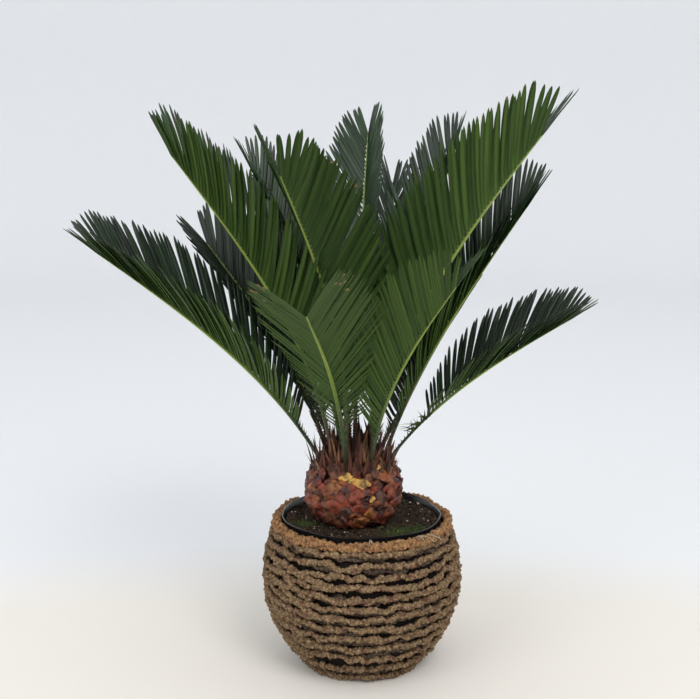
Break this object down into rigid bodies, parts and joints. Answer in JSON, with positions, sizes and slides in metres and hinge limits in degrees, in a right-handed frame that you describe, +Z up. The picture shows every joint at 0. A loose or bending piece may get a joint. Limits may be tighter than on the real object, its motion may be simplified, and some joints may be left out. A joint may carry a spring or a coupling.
{
  "type": "potted sago palm",
  "caption": "Young sago palm with a scaly round stem and keeled feathery fronds, in a nursery pot inside a round rope basket.",
  "frame": {"origin": "centre of the basket's flat underside", "axes": "+Z up, -Y towards the side seen in the picture, +X to the right of that view"},
  "size_m": [0.5458, 0.5876, 0.6253],
  "materials": {
    "rope": "matte twisted plant fibre",
    "pot_plastic": "satin black plastic",
    "soil": "matte crumbly compost with moss",
    "caudex": "rough old leaf bases",
    "frond": "leathery leaflets, glossy above and matte below"
  },
  "bodies": {
    "root": {"basket": "rope", "basket_rim": "rope", "nursery_pot": "pot_plastic", "soil": "soil", "caudex": "caudex", "frond_01_right_low": "frond", "frond_02_right_leaning": "frond", "frond_03_right_tall": "frond", "frond_04_front_right": "frond", "frond_05_front_cut": "frond", "frond_06_front_left": "frond", "frond_07_left_tall": "frond", "frond_08_left_low": "frond", "frond_09_left_inner": "frond", "frond_10_left_rear": "frond", "frond_11_rear_left_low": "frond", "frond_12_rear_left": "frond", "frond_13_rear_low": "frond", "frond_14_rear_inner": "frond", "frond_15_rear_right_low": "frond", "frond_16_rear_right": "frond", "frond_17_right_rear": "frond", "frond_18_right_inner": "frond"}
  },
  "joints": []
}
